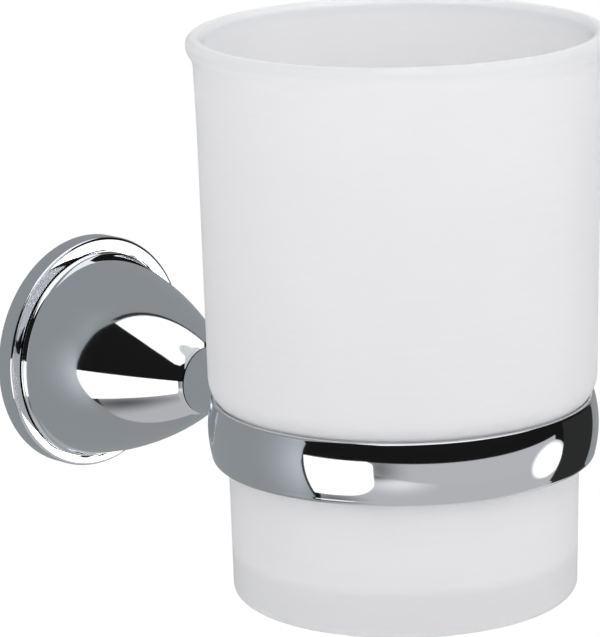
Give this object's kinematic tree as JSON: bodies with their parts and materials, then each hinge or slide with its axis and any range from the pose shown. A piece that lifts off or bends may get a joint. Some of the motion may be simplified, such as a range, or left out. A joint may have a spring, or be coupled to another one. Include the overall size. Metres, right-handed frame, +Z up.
{
  "type": "toothbrush tumbler holder",
  "caption": "Frosted glass tumbler hung by its shoulder in a chromed ring, on a neck and bell cover fixed to a round wall flange",
  "frame": {"origin": "centre of the wall bracket's back face, on the arm's axis, in the plane of the wall", "axes": "+Z is up, +Y points into the wall so that the holder stands out towards -Y, +X is to the right for someone facing the wall"},
  "size_m": [0.072, 0.1341, 0.0986],
  "materials": {
    "frosted_glass": "acid-frosted outside, faintly bluish white, translucent",
    "chrome": "polished chrome plate",
    "zinc_plate": "bright zinc plate",
    "plated_steel": "plated screws",
    "nylon": "plain grey nylon"
  },
  "bodies": {
    "holder": {"holder_ring": "chrome", "bell_cover": "chrome", "flange_disc": "chrome", "wall_bracket": "zinc_plate", "wall_screw_upper": "plated_steel", "wall_screw_lower": "plated_steel", "wall_plug_upper": "nylon", "wall_plug_lower": "nylon", "tie_bolt": "plated_steel", "spring_washer": "plated_steel", "grub_screw": "plated_steel"},
    "tumbler": {"tumbler": "frosted_glass"}
  },
  "joints": [
    {"name": "tumbler_lift", "type": "slide", "parent": "holder", "child": "tumbler", "axis": [0, 0, 1], "range_m": [0, 0.06]}
  ]
}
